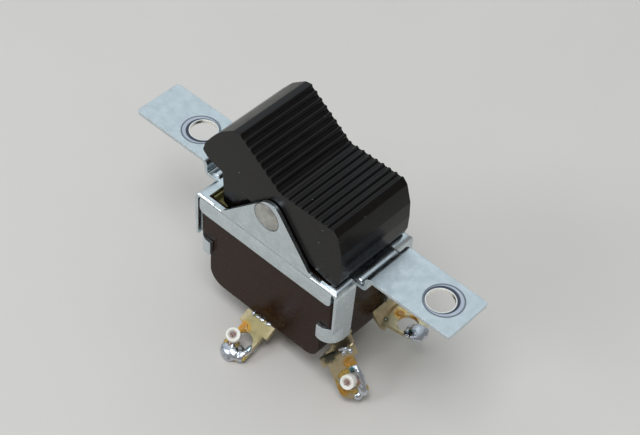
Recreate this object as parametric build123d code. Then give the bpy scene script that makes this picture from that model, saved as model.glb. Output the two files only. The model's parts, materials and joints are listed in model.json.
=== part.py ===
from build123d import *
import math
import os

# Panel toggle switch: a ribbed rocker between two pivot ears on a folded steel
# bracket, over a moulded base that holds two see-saw contacts.
# Frame: X runs along the bracket, Y across it, Z up out of the panel. The origin
# lies midway between the two mounting holes, on the top face of the mounting ears.
# All lengths are in millimetres and all angles in degrees.

# Mounting bracket
BRACKET_LENGTH = 63.5
HOLE_MARGIN = 15.5           # length of the bracket beyond the spacing of its holes
HOLE_DIAMETER = 4.3
BODY_SHIFT = -2.6            # middle of the switch body, from the middle of the holes
STRIP_WIDTH = 8.9
STRIP_CORNER = 0.6
SHEET = 0.6                  # thickness of the steel
STEP_DOWN = 2.4              # top of the frame below the top of the mounting ears
RISER_OUT = 2.1              # outer face of the two upright steps, beyond the frame's ends
BEND_INSIDE = 0.4
FRAME_LENGTH = 29.2
FRAME_WIDTH = 17.2
FOLD_INSIDE = 0.6
FLANGE_DROP = 3.4            # long flanges, below the top of the frame
END_BAR = 2.2                # metal left at each end of the frame's opening
CORNER_SLOT = 0.5
EAR_SETBACK = 0.35           # outer face of the pivot ears, in from the frame's side

# Pivot ears and rivet
PIVOT_HEIGHT = 3.0
EAR_RADIUS = 2.3             # round top of an ear
EAR_APEX_X = 0.9
EAR_APEX_Z = 7.35            # where its two slopes would meet
EAR_FOOT = 8.75              # half length of an ear where it meets the frame
EAR_FOOT_RADIUS = 1.2
EAR_COVE = 0.8
PIN_DIAMETER = 2.4
RIVET_HEAD_DIAMETER = 4.6
RIVET_HEAD_HEIGHT = 0.75

# Clamp tabs at the four corners
TAB_WIDTH = 4.2
TAB_LEAN = 0.3               # each tab leans in by this at its lower end
TAB_DROP = 12.5
FINGER_TOP = 11.45           # upper edge of the fingers, below the mounting plane
FINGER_REACH = 3.1           # from the outer face of the tab, along the switch
FINGER_INSIDE = 2.0
FINGER_SLOPE = 0.6

# Rocker
ROCKER_TILT = 17.5
ROCKER_SIDE_GAP = 0.2        # to each pivot ear
ROCKER_END_GAP = 0.25        # its half length, short of the frame's
SADDLE_LOW = 6.2             # valley of the ribbed top, above the pivot
SADDLE_SLOPE = 18.5
SADDLE_SHARE = 0.7058        # ribbed run of one half, as a share of the rocker's half length
RIB_COUNT = 8                # on each half of the top
RIB_DEPTH = 0.3
ROCKER_WALL = 1.4
WEB_SETBACK = 0.8
WEB_DEPTH = 8.6
WEB_FOOT_IN = 1.9            # lower corners of a web, in from the end of the well
WEB_TOP_OUT = 0.5            # its upper corners, out from the same place
HUB_DIAMETER = 6.4
RUNNING_GAP = 0.05
LEG_LENGTH = 10.0
LEG_X = 4.2
LEG_MARGIN = 1.4             # from a leg's side to the wall of its half of the well
LEG_WALL = 0.7

# Plungers and springs
PLUNGER_TIP = 12.85          # distance from the pivot to the rounded tip
PLUNGER_LENGTH = 4.3
SPRING_WIRE = 0.3
SPRING_TURNS = 4
SPRING_GAP = 0.15            # to the wall of its bore

# See-saw contacts
BAR_PIVOT = 11.2             # below the mounting plane
BAR_TILT = 9.0
BAR_THICKNESS = 0.8
BAR_OVERHANG = 1.0           # end of an arm, beyond the middle of its contact
CONTACT_SETBACK = 2.2        # middle of a contact, in from the end of the well
TROUGH_RADIUS = 5.5
TROUGH_CENTRE = 6.55         # above the pivot of the see-saw
ARM_ROOM = 3.56              # from the trough's edge to the middle of the contact
ARM_LEVEL = 0.4
BAR_PIN_DIAMETER = 1.0
BAR_HUB_DIAMETER = 2.1
BUTTON_DIAMETER = 2.4
BUTTON_HEIGHT = 0.9
FIXED_BUTTON_HEIGHT = 0.55
CONTACT_OPEN_GAP = 0.1

# Base
COLLAR_GAP = 0.45            # to the end flanges of the frame
BASE_SHIFT = -0.15           # the base sits a little towards the -X tabs
COLLAR_DROP = 11.3
BODY_NOTCH = 1.95            # corner notches for the fingers
END_BLOCK_STEP = 0.35        # below the collar, between the notches
BODY_DROP = 20.7
BODY_CORNER = 2.8
EDGE_SOFTENING = 0.35
TOP_SOFTENING = 0.9
BASE_WALL = 1.05
END_WALL = 1.6
WELL_FLOOR = 17.5
PARTITION = 1.0
PARTITION_TOP = 9.0
POCKET_WALL = 1.25
POCKET_FLOOR = 4.6
FIBRE = 0.3

# Terminals
BLADE = 0.7                  # thickness of the terminal metal
BLADE_WIDTH = 4.2
BLADE_SIDE_GAP = 0.2         # from an end terminal's blade to the side of the well
BLADE_BEND = 0.5
SHOULDER_WIDTH = 5.8
LUG_HOLE = 3.4
LUG_HOLE_BACK = 3.2          # hole centre, back from the tip
FIT_GAP = 0.1
CHEEK_GAP = 0.1
COMMON_SHIFT = -0.35         # middle of the common terminals' blades, along X
COMMON_RUN_OUT = 1.45        # from a common blade to the root of its lug
COMMON_LUG = (7.9, 2.2)      # length of the lug and of its shoulders
COMMON_WAY = (0, -0.89, -0.45)
LOAD_EXIT = 16.6             # where the load terminals leave the base, below the ears
NECK_SHIFT = 0.5             # middle of their wider part, out from that of the blade
FRONT_LUG = (7.8, 1.5)
FRONT_NECK = (0.32, -0.35, -0.9)  # half way through its twist, from where the neck begins
FRONT_NECK_WAY = (0.35, -0.1, -0.93)
FRONT_NECK_WIDE = (0.25, 0.95, 0.1)
FRONT_NECK_WIDTH = 4.6
FRONT_ROOT = (0.1, -0.72, -1.97)  # root of the lug, from where the neck begins
FRONT_WAY = (0.72, -0.15, -0.68)
FRONT_WIDE = (0.62, 0.75, 0.17)
BACK_LUG = (6.5, 0.9)
BACK_NECK = (0.65, -0.01, -0.85)
BACK_NECK_WAY = (0.55, 0, -0.83)
BACK_ROOT = (1.286, -0.03, -1.7)
BACK_WAY = (0.989, 0.146, 0)

# Solder and cut wires, each in the frame of its lug: along it, across it, out of its face.
# A wire has its foot, its cut end and the point in the solder that its strands reach.
INSULATION_DIAMETER = 2.35
STRAND_DIAMETER = 1.3
STRAND_SETBACK = 0.12        # strands end below the cut end of their insulation
MIDDLE_WIRE = ((5.1, -0.65, 0.65), (4.85, -0.95, 2.8), (6.5, -0.5, 0.75))
MIDDLE_SOLDER = ((5.6, -2.3, 0.5), (7.2, -2.6, 0.7), (8.4, -1.5, 0.8), (8.25, 0.4, 0.8),
                 (7.0, 1.8, 0.8), (5.1, 2.35, 0.5), (4.4, 1.6, 0.5), (5.6, -0.2, 0.6))
END_WIRE = ((4.7, 0.42, 0.79), (4.8, -0.52, 1.72), (5.6, 1.4, 0.75))
END_SOLDER = ((2.4, 0.3, 0.5), (2.5, 1.7, 0.5), (3.9, 2.45, 0.8), (6.6, 2.5, 0.8),
              (8.0, 1.6, 0.7), (8.3, -0.5, 0.5), (7.4, -1.0, 0.5), (6.2, 0.1, 0.6),
              (4.4, 1.0, 0.6))
BACK_SOLDER = ((3.5, -2.3, 0.5), (5.0, -2.7, 0.8), (6.5, -2.3, 1.0), (7.2, -0.9, 1.0),
               (7.0, 0.9, 0.8), (5.8, 1.6, 0.8), (4.2, 0.5, 0.8))
SOLDER_ABOVE = 1.25          # top of the solder, above the middle of the lug's metal
SOLDER_BELOW = 0.75
SOLDER_BEVEL = 0.45

# Derived sizes and places
HOLE_SPACING = BRACKET_LENGTH - HOLE_MARGIN
RISER_X = FRAME_LENGTH / 2 + RISER_OUT
OPENING_LENGTH = FRAME_LENGTH - 2 * END_BAR
BASE_WIDTH = FRAME_WIDTH - 2 * SHEET - FIT_GAP
BODY_TOP = -STEP_DOWN
FRAME_UNDER = -STEP_DOWN - SHEET
EAR_OUTSIDE = FRAME_WIDTH / 2 - EAR_SETBACK
EAR_INSIDE = EAR_OUTSIDE - SHEET
TAB_OUTER_Y = FRAME_WIDTH / 2 - 0.15
COLLAR_LENGTH = FRAME_LENGTH - 2 * (SHEET + COLLAR_GAP)
BODY_LENGTH = COLLAR_LENGTH - 2 * BODY_NOTCH
END_BLOCK_LENGTH = COLLAR_LENGTH - 2 * END_BLOCK_STEP
END_BLOCK_WIDTH = 2 * (TAB_OUTER_Y - TAB_WIDTH) - FIT_GAP
WELL_LENGTH = BODY_LENGTH - 2 * END_WALL
WELL_SIDE = BASE_WIDTH / 2 - BASE_WALL
POCKET_LENGTH = COLLAR_LENGTH - 2 * POCKET_WALL
ROCKER_WIDTH = 2 * (EAR_INSIDE - ROCKER_SIDE_GAP)
ROCKER_HALF = FRAME_LENGTH / 2 - ROCKER_END_GAP
RIB_PITCH = SADDLE_SHARE * ROCKER_HALF / RIB_COUNT
WEB_FOOT = WELL_LENGTH / 2 - WEB_FOOT_IN
WEB_TOP = WELL_LENGTH / 2 + WEB_TOP_OUT
SOCKET_RADIUS = PIN_DIAMETER / 2 + RUNNING_GAP
POLE_Y = (WELL_SIDE + PARTITION / 2) / 2
LEG_Y = WELL_SIDE - PARTITION / 2 - 2 * LEG_MARGIN
PLUNGER_DIAMETER = LEG_Y - 2 * LEG_WALL
LEVEL_BAR = -BAR_PIVOT
CONTACT_X = WELL_LENGTH / 2 - CONTACT_SETBACK
BAR_REACH = CONTACT_X + BAR_OVERHANG
BUTTON_CLOSED_Z = (LEVEL_BAR - CONTACT_X * math.sin(math.radians(BAR_TILT))
                   - BUTTON_HEIGHT * math.cos(math.radians(BAR_TILT)))
BUTTON_EDGE_DROP = BUTTON_DIAMETER / 2 * math.sin(math.radians(BAR_TILT))
FIXED_BUTTON_TOP = BUTTON_CLOSED_Z - CONTACT_OPEN_GAP - BUTTON_EDGE_DROP
CONTACT_PLATE_Z = FIXED_BUTTON_TOP - FIXED_BUTTON_HEIGHT - BLADE / 2
TERMINAL_Y = WELL_SIDE - BLADE_WIDTH / 2 - BLADE_SIDE_GAP
NECK_X = END_BLOCK_LENGTH / 2 + FIT_GAP
NECK_Y = TERMINAL_Y + NECK_SHIFT
LOAD_BLADE_X = WELL_LENGTH / 2 - FIT_GAP - BLADE / 2
COMMON_BLADE_Y = WELL_SIDE - FIT_GAP - BLADE / 2
COMMON_EXIT_Z = -BODY_DROP - FIT_GAP - BLADE / 2


def slab(x, y, z):
    """Box between two limits on each axis."""
    size = [abs(limit[1] - limit[0]) for limit in (x, y, z)]
    middle = [(limit[0] + limit[1]) / 2 for limit in (x, y, z)]
    return Pos(*middle) * Box(*size)


def outline(points):
    """Closed face through (u, v, radius) corners, with an arc at each radius."""
    count = len(points)
    starts, ends, arcs = [], [], []
    for index, (u, v, radius) in enumerate(points):
        corner = Vector(u, v)
        before = (Vector(*points[index - 1][:2]) - corner).normalized()
        after = (Vector(*points[(index + 1) % count][:2]) - corner).normalized()
        half = math.acos(max(-1.0, min(1.0, before.dot(after)))) / 2
        reach = radius / math.tan(half) if radius else 0.0
        starts.append(corner + before * reach)
        ends.append(corner + after * reach)
        if radius:
            bisector = (before + after).normalized()
            centre = corner + bisector * (radius / math.sin(half))
            arcs.append(ThreePointArc(starts[-1], centre - bisector * radius, ends[-1]))
    sides = [Line(ends[i], starts[(i + 1) % count]) for i in range(count)
             if (ends[i] - starts[(i + 1) % count]).length > 1e-6]
    return make_face(sides + arcs)


def across(face, y):
    """Extrude a face drawn in (x, z) between two values of y."""
    return extrude(Plane.XZ.offset(-y[1]) * face, y[1] - y[0])


def along(face, x):
    """Extrude a face drawn in (y, z) between two values of x."""
    return extrude(Plane.YZ.offset(x[0]) * face, x[1] - x[0])


def rod_y(x, z, radius, y):
    """Round rod along Y."""
    return Pos(x, (y[0] + y[1]) / 2, z) * Rot(90, 0, 0) * Cylinder(radius, y[1] - y[0])


def mirrored(part, plane):
    """The part together with its mirror image."""
    return part + mirror(part, about=plane)


def sheet_section(path, thickness, bend):
    """Section of a folded sheet about a centre line, with one inside radius."""
    def offset(side):
        corners = []
        for index, point in enumerate(path):
            here = Vector(*point)
            first = (here - Vector(*path[index - 1])).normalized() if index else None
            last = ((Vector(*path[index + 1]) - here).normalized()
                    if index < len(path) - 1 else None)
            into, out = first or last, last or first
            normal_in = Vector(-into.Y, into.X)
            normal_out = Vector(-out.Y, out.X)
            mitre = (normal_in + normal_out).normalized()
            shift = mitre * (side * thickness / 2 / mitre.dot(normal_in))
            turn = into.X * out.Y - into.Y * out.X
            radius = 0.0
            if first and last and abs(turn) > 1e-6:
                inner = turn * side > 0
                radius = bend if inner else bend + thickness
            corners.append((here.X + shift.X, here.Y + shift.Y, radius))
        return corners
    return outline(offset(1) + offset(-1)[::-1])


def tilted(part, angle, height):
    """Turn a part about the Y axis and lift its pivot to its height."""
    return Pos(0, 0, height) * Rot(0, angle, 0) * part


# Mounting bracket, folded from one sheet

def mounting_strip():
    """One mounting ear with its step up from the frame, at the +X end."""
    riser = RISER_X - SHEET / 2
    path = [(OPENING_LENGTH / 2, BODY_TOP - SHEET / 2), (riser, BODY_TOP - SHEET / 2),
            (riser, -SHEET / 2), (BRACKET_LENGTH / 2, -SHEET / 2)]
    strip = across(sheet_section(path, SHEET, BEND_INSIDE),
                   (-STRIP_WIDTH / 2, STRIP_WIDTH / 2))
    ends = strip.edges().filter_by(Axis.Z).group_by(Axis.X)[-1]
    return fillet(ends, STRIP_CORNER)


def fold_section(half, drop, lean=0.0):
    """Section of the frame's top with a flange folded down at both sides."""
    top = BODY_TOP - SHEET / 2
    edge = half - SHEET / 2
    foot = edge - lean
    return sheet_section([(-foot, top - drop + SHEET / 2), (-edge, top), (edge, top),
                          (foot, top - drop + SHEET / 2)], SHEET, FOLD_INSIDE)


def frame_shell():
    """Top of the frame, its long flanges and the corner tabs, before the fingers."""
    flange_end = FRAME_LENGTH / 2 - SHEET - CORNER_SLOT
    sides = along(fold_section(FRAME_WIDTH / 2, FLANGE_DROP), (-flange_end, flange_end))
    lower = sides.edges().filter_by(Axis.Y).group_by(Axis.Z)[0]
    sides = fillet(lower, 1.0)
    envelope = along(outline([
        (-FRAME_WIDTH / 2, BODY_TOP - 20, 0), (-FRAME_WIDTH / 2, BODY_TOP, FOLD_INSIDE + SHEET),
        (FRAME_WIDTH / 2, BODY_TOP, FOLD_INSIDE + SHEET), (FRAME_WIDTH / 2, BODY_TOP - 20, 0),
    ]), (-FRAME_LENGTH, FRAME_LENGTH))
    tab_inner_y = TAB_OUTER_Y - TAB_WIDTH
    tabs = across(fold_section(FRAME_LENGTH / 2, TAB_DROP, TAB_LEAN),
                  (tab_inner_y, TAB_OUTER_Y))
    bend_y = BASE_WIDTH / 2 + FIT_GAP - FINGER_INSIDE
    tabs -= slab((-FRAME_LENGTH, FRAME_LENGTH), (bend_y, FRAME_WIDTH),
                 (BODY_TOP - 2 * TAB_DROP, -FINGER_TOP))
    tabs = mirrored(tabs, Plane.XZ) & envelope
    top = slab((-FRAME_LENGTH / 2 + 1.2, FRAME_LENGTH / 2 - 1.2),
               (-FRAME_WIDTH / 2 + 1.2, FRAME_WIDTH / 2 - 1.2), (FRAME_UNDER, BODY_TOP))
    slot_x = (FRAME_LENGTH / 2 - SHEET - CORNER_SLOT, FRAME_LENGTH / 2 - SHEET)
    slot = slab(slot_x, (EAR_INSIDE, FRAME_WIDTH), (BODY_TOP - 30, BODY_TOP - 1.0))
    slots = mirrored(mirrored(slot, Plane.XZ), Plane.YZ)
    opening = slab((-OPENING_LENGTH / 2, OPENING_LENGTH / 2), (-EAR_INSIDE, EAR_INSIDE),
                   (BODY_TOP - 5, BODY_TOP + 1))
    return sides + tabs + top - slots - opening


def clamp_finger():
    """Finger that wraps round the base below its collar, at the +X, -Y corner."""
    outer = FINGER_INSIDE + SHEET
    end_x = FRAME_LENGTH / 2 - TAB_LEAN
    centre_x = end_x - outer
    face_y = -BASE_WIDTH / 2 - FIT_GAP
    centre_y = face_y + FINGER_INSIDE
    bottom = BODY_TOP - TAB_DROP
    ring = Cylinder(outer, 8) - Cylinder(FINGER_INSIDE, 9)
    quarter = Pos(centre_x, centre_y, bottom + 1) * (ring & slab((0, 9), (-9, 0), (-5, 5)))
    tip_x = end_x - FINGER_REACH
    straight = slab((tip_x, centre_x), (face_y - SHEET, face_y), (bottom - 3, bottom + 5))
    leg = slab((end_x - SHEET, end_x), (centre_y, -TAB_OUTER_Y + TAB_WIDTH),
               (bottom - 3, bottom + 5))
    side_view = outline([(tip_x, -FINGER_TOP, 0), (end_x + 1, -FINGER_TOP, 0),
                         (end_x + 1, bottom, 0), (tip_x, bottom + FINGER_SLOPE, 0.5)])
    return (quarter + straight + leg) & across(side_view, (-20, 0))


def pivot_ear():
    """Ear that carries the rivet, at the -Y side, with its cove at the frame."""
    skirt = EAR_FOOT + 2.2
    shape = outline([
        (-skirt, BODY_TOP, 0), (-EAR_FOOT, BODY_TOP, EAR_FOOT_RADIUS),
        (EAR_APEX_X, EAR_APEX_Z, EAR_RADIUS), (EAR_FOOT, BODY_TOP, EAR_FOOT_RADIUS),
        (skirt, BODY_TOP, 0), (skirt, FRAME_UNDER, 0), (-skirt, FRAME_UNDER, 0)])
    ear = across(shape, (-EAR_OUTSIDE, -EAR_INSIDE))
    fold = FOLD_INSIDE + SHEET
    side = FRAME_WIDTH / 2 - fold - (EAR_OUTSIDE + EAR_COVE)
    rise = math.sqrt((fold + EAR_COVE) ** 2 - side ** 2)
    cove_y, cove_z = -EAR_OUTSIDE - EAR_COVE, BODY_TOP - fold + rise
    share = fold / (fold + EAR_COVE)
    touch_y = -FRAME_WIDTH / 2 + fold + share * (cove_y + FRAME_WIDTH / 2 - fold)
    touch_z = BODY_TOP - fold + share * (cove_z - BODY_TOP + fold)
    bisect = Vector((-EAR_OUTSIDE + touch_y) / 2 - cove_y, (cove_z + touch_z) / 2 - cove_z)
    middle = Vector(cove_y, cove_z) + bisect.normalized() * EAR_COVE
    cove = make_face([
        Line((-EAR_OUTSIDE + 0.2, cove_z), (-EAR_OUTSIDE, cove_z)),
        ThreePointArc((-EAR_OUTSIDE, cove_z), middle, (touch_y, touch_z)),
        Line((touch_y, touch_z), (touch_y + 0.1, touch_z - 0.3)),
        Line((touch_y + 0.1, touch_z - 0.3), (-EAR_OUTSIDE + 0.2, touch_z - 0.3)),
        Line((-EAR_OUTSIDE + 0.2, touch_z - 0.3), (-EAR_OUTSIDE + 0.2, cove_z))])
    return ear + along(cove, (-EAR_FOOT - 0.4, EAR_FOOT + 0.4))


def mounting_bracket():
    """The whole folded bracket."""
    strips = mirrored(mounting_strip(), Plane.YZ)
    fingers = mirrored(mirrored(clamp_finger(), Plane.XZ), Plane.YZ)
    ears = mirrored(pivot_ear(), Plane.XZ)
    bracket = frame_shell() + strips + fingers + ears
    for side in (-1, 1):
        hole_x = side * HOLE_SPACING / 2 - BODY_SHIFT
        bracket -= Pos(hole_x, 0, 0) * Cylinder(HOLE_DIAMETER / 2, 4)
    return bracket - rod_y(0, PIVOT_HEIGHT, PIN_DIAMETER / 2, (-20, 20))


def pivot_pin():
    """Rivet through both ears, with a domed head on each."""
    rise = RIVET_HEAD_HEIGHT
    radius = ((RIVET_HEAD_DIAMETER / 2) ** 2 + rise ** 2) / (2 * rise)
    dome = Sphere(radius) & Pos(0, 0, radius) * Box(20, 20, 2 * rise)
    head = Pos(0, -EAR_OUTSIDE, PIVOT_HEIGHT) * Rot(90, 0, 0) * Pos(0, 0, rise - radius) * dome
    shank = rod_y(0, PIVOT_HEIGHT, PIN_DIAMETER / 2, (-EAR_OUTSIDE, EAR_OUTSIDE))
    return mirrored(head, Plane.XZ) + shank


# Rocker, drawn level with its pivot at the origin

def saddle_half():
    """Outline points of the +X half of the rocker's cap, from the valley outwards."""
    slope = math.radians(SADDLE_SLOPE)
    run = RIB_COUNT * RIB_PITCH
    crest = (run * math.cos(slope), SADDLE_LOW + run * math.sin(slope), 0.4)
    end = ((0.749, 0.613, 0.056), (0.878, 0.425, 0.105), (0.948, 0.244, 0.105),
           (1.0, 0.063, 0.084), (0.9965, -0.066, 0.021), (0.927, -0.101, 0.014),
           (0.8885, -0.209, 0.014), (0.791, -0.209, 0.014), (0.7665, -0.157, 0.014),
           (0.69, -0.139, 0))
    return [crest] + [tuple(share * ROCKER_HALF for share in point) for point in end]


def rib_grooves():
    """Grooves between the ribs, as flat faces in (x, z)."""
    slope = math.radians(SADDLE_SLOPE)
    grooves = []
    for side in (-1, 1):
        for index in range(RIB_COUNT):
            middle = (index + 0.5) * RIB_PITCH
            groove = []
            for u, v in ((-0.46, 0.05), (-0.30, -RIB_DEPTH), (0.30, -RIB_DEPTH), (0.46, 0.05)):
                run = middle + u * RIB_PITCH
                x = run * math.cos(slope) - v * math.sin(slope)
                z = SADDLE_LOW + run * math.sin(slope) + v * math.cos(slope)
                groove.append((side * x, z, 0))
            grooves.append(outline(groove))
    return grooves


def rocker_cap():
    """Ribbed saddle with its rounded ends, hollow from below."""
    half = saddle_half()
    left = [(-x, z, radius) for x, z, radius in half[::-1]]
    face = outline([(0, SADDLE_LOW, 0.6)] + half + left)
    for groove in rib_grooves():
        face -= groove
    cap = across(face, (-ROCKER_WIDTH / 2, ROCKER_WIDTH / 2))
    wall = ROCKER_WALL
    shares = ((0.78, 0.39, 0.07), (0.878, 0.1115, 0.07), (0.85, -0.028, 0.035),
              (0.669, -0.042, 0), (0.669, -0.279, 0))
    inner = [(0.641 * ROCKER_HALF, SADDLE_LOW + 1.2, 0.5)]
    inner += [tuple(share * ROCKER_HALF for share in point) for point in shares]
    inner_left = [(-x, z, radius) for x, z, radius in inner[::-1]]
    hollow = outline([(0, SADDLE_LOW - wall - 0.4, 0.5)] + inner + inner_left)
    inside = ROCKER_WIDTH / 2 - wall
    cap -= across(hollow, (-inside, inside))
    lip_y = WELL_SIDE - WEB_SETBACK / 2
    trim = slab((-ROCKER_WIDTH, ROCKER_WIDTH), (lip_y, ROCKER_WIDTH), (-5, -1.5))
    return cap - mirrored(trim, Plane.XZ)


def rocker_webs():
    """Side webs that hang into the base and stiffen the cap."""
    middle = (WEB_TOP + WEB_FOOT) / 2
    half = [(WEB_TOP - 0.2, -0.8, 0), (WEB_TOP, -2.2, 0), (middle, -5.1, 0.6),
            (WEB_FOOT, -WEB_DEPTH, 0.5)]
    face = outline(half + [(-x, z, radius) for x, z, radius in half[::-1]])
    outside = ROCKER_WIDTH / 2 - WEB_SETBACK
    return mirrored(across(face, (-outside, -outside + ROCKER_WALL - 0.1)), Plane.XZ)


def rocker():
    """The whole moulded rocker, level."""
    inside = ROCKER_WIDTH / 2 - 0.4
    body = rocker_cap() + rocker_webs()
    body += rod_y(0, 0, HUB_DIAMETER / 2, (-inside, inside))
    body += slab((-0.6, 0.6), (-inside, inside), (0, SADDLE_LOW - 0.5))
    for side in (-1, 1):
        leg = slab((-LEG_X / 2, LEG_X / 2), (-LEG_Y / 2, LEG_Y / 2), (-LEG_LENGTH, 0))
        leg = chamfer(leg.edges().filter_by(Axis.Y).group_by(Axis.Z)[0], 0.5)
        body += Pos(0, side * POLE_Y, 0) * leg
    for side in (-1, 1):
        top = -HUB_DIAMETER / 2 + 0.2
        bore = Cylinder(PLUNGER_DIAMETER / 2 + RUNNING_GAP * 2, LEG_LENGTH + top + 1)
        body -= Pos(0, side * POLE_Y, (top - LEG_LENGTH - 1) / 2) * bore
    return body - rod_y(0, 0, SOCKET_RADIUS, (-20, 20))


def plunger():
    """Spring-loaded plunger with a round tip, drawn under the level rocker."""
    radius = PLUNGER_DIAMETER / 2
    top = -PLUNGER_TIP + PLUNGER_LENGTH
    ball = -PLUNGER_TIP + radius
    body = Pos(0, 0, (top + ball) / 2) * Cylinder(radius, top - ball)
    return body + Pos(0, 0, ball) * Sphere(radius)


def plunger_spring():
    """Coil spring between the rocker and the plunger's back."""
    top = -HUB_DIAMETER / 2 + 0.2 - SPRING_WIRE / 2
    bottom = -PLUNGER_TIP + PLUNGER_LENGTH + SPRING_WIRE / 2
    radius = PLUNGER_DIAMETER / 2 - SPRING_WIRE / 2 - SPRING_GAP + RUNNING_GAP
    coil = Helix((top - bottom) / SPRING_TURNS, top - bottom, radius)
    start = Plane(origin=coil @ 0, z_dir=coil % 0)
    section = start * RegularPolygon(SPRING_WIRE / 2, 4)
    return Pos(0, 0, bottom) * sweep(section, path=coil)


# See-saw contacts, drawn level with their pivot at the origin

def contact_bar():
    """Bent see-saw bar with a trough for the plunger and a hub for its pin."""
    outer = TROUGH_RADIUS + BAR_THICKNESS
    middle = TROUGH_RADIUS + BAR_THICKNESS / 2
    angle = math.asin((CONTACT_X - ARM_ROOM) / middle)
    disc = Circle(outer) - Circle(TROUGH_RADIUS)
    lip = TROUGH_RADIUS * math.cos(angle)
    trough = Pos(0, TROUGH_CENTRE) * (disc & Pos(0, -10 - lip) * Rectangle(30, 20))
    edge = (middle * math.sin(angle), TROUGH_CENTRE - middle * math.cos(angle))
    arm = sheet_section([(edge[0] - 0.35, edge[1] - 0.45), (edge[0] + 0.3, edge[1] + 0.1),
                         (CONTACT_X - 1.5, ARM_LEVEL), (BAR_REACH, ARM_LEVEL)],
                        BAR_THICKNESS, 0.2)
    face = trough + arm + mirror(arm, about=Plane.YZ)
    face += Circle(BAR_HUB_DIAMETER / 2)
    face -= Circle(BAR_PIN_DIAMETER / 2 + RUNNING_GAP)
    half = bar_width() / 2
    return across(face, (-half, half))


def cheek_inside():
    """Half distance between the two cheeks that hold one see-saw."""
    return LEG_Y / 2 - 0.2


def bar_width():
    """Width of a see-saw bar between its cheeks."""
    return 2 * (cheek_inside() - CHEEK_GAP)


def moving_contact():
    """Round contact button riveted under the +X arm of a see-saw."""
    height = BUTTON_HEIGHT + ARM_LEVEL - BAR_THICKNESS / 2
    button = Pos(CONTACT_X, 0, ARM_LEVEL - BAR_THICKNESS / 2 - height / 2)
    return button * Cylinder(BUTTON_DIAMETER / 2, height)


def bar_pin():
    """Cross pin of a see-saw, held in both cheeks."""
    half = cheek_inside() + BLADE + 0.2
    return rod_y(0, 0, BAR_PIN_DIAMETER / 2, (-half, half))


# Terminals

def lug_frame(root, way, wide):
    """Plane of a lug: x along it from its root, y across it, z out of its face."""
    way = Vector(*way).normalized()
    wide = Vector(*wide)
    wide = (wide - way * wide.dot(way)).normalized()
    return Plane(origin=root, x_dir=way, z_dir=way.cross(wide))


def from_neck(side, offset=(0, 0, 0)):
    """Point near an end terminal, from where its neck begins."""
    x, y, z = offset
    return (NECK_X + x, side * NECK_Y + y, -LOAD_EXIT + z)


def middle_lug():
    """Frame of the front common terminal's lug."""
    root = (COMMON_SHIFT, -COMMON_BLADE_Y - COMMON_RUN_OUT, COMMON_EXIT_Z)
    return lug_frame(root, COMMON_WAY, (1, 0, 0))


def end_lug():
    """Frame of the front load terminal's lug."""
    return lug_frame(from_neck(-1, FRONT_ROOT), FRONT_WAY, FRONT_WIDE)


def back_lug():
    """Frame of the back load terminal's lug."""
    return lug_frame(from_neck(1, BACK_ROOT), BACK_WAY, (0, 1, 0))


def lug(frame, length, shoulder):
    """Flat lug: shoulders, straight part, round tip and wire hole."""
    straight = length - BLADE_WIDTH / 2
    plate = Pos(shoulder / 2, 0) * Rectangle(shoulder, SHOULDER_WIDTH)
    plate += Pos(straight / 2, 0) * Rectangle(straight, BLADE_WIDTH)
    plate += Pos(straight, 0) * Circle(BLADE_WIDTH / 2)
    plate -= Pos(length - LUG_HOLE_BACK, 0) * Circle(LUG_HOLE / 2)
    return extrude(frame * plate, BLADE / 2, both=True)


def neck(sections):
    """Bent and twisted metal through a width at each of several lug frames."""
    planes = [(Plane(origin=frame.origin, x_dir=frame.z_dir, z_dir=frame.x_dir), width)
              for frame, width in sections]
    return loft([plane * Rectangle(BLADE, width) for plane, width in planes], ruled=True)


def load_blade(side):
    """Inner part of an end terminal: contact plate, drop and way out through the base."""
    path = [(LOAD_BLADE_X - 3.6, CONTACT_PLATE_Z), (LOAD_BLADE_X, CONTACT_PLATE_Z),
            (LOAD_BLADE_X, -LOAD_EXIT), (NECK_X, -LOAD_EXIT)]
    middle = side * TERMINAL_Y
    return across(sheet_section(path, BLADE, BLADE_BEND),
                  (middle - BLADE_WIDTH / 2, middle + BLADE_WIDTH / 2))


def load_terminal_front():
    """Terminal of the -Y pole, its lug twisted and bent steeply down."""
    bend = lug_frame(from_neck(-1, FRONT_NECK), FRONT_NECK_WAY, FRONT_NECK_WIDE)
    sections = [(lug_frame(from_neck(-1), (1, 0, 0), (0, 1, 0)), BLADE_WIDTH),
                (bend, FRONT_NECK_WIDTH), (end_lug(), SHOULDER_WIDTH)]
    return load_blade(-1) + neck(sections) + lug(end_lug(), *FRONT_LUG)


def load_terminal_back():
    """Terminal of the +Y pole, its lug level and standing straight out."""
    frames = (lug_frame(from_neck(1), (1, 0, 0), (0, 1, 0)),
              lug_frame(from_neck(1, BACK_NECK), BACK_NECK_WAY, (0, 1, 0)), back_lug())
    sections = [(frame, SHOULDER_WIDTH) for frame in frames]
    return load_blade(1) + neck(sections) + lug(back_lug(), *BACK_LUG)


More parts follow.
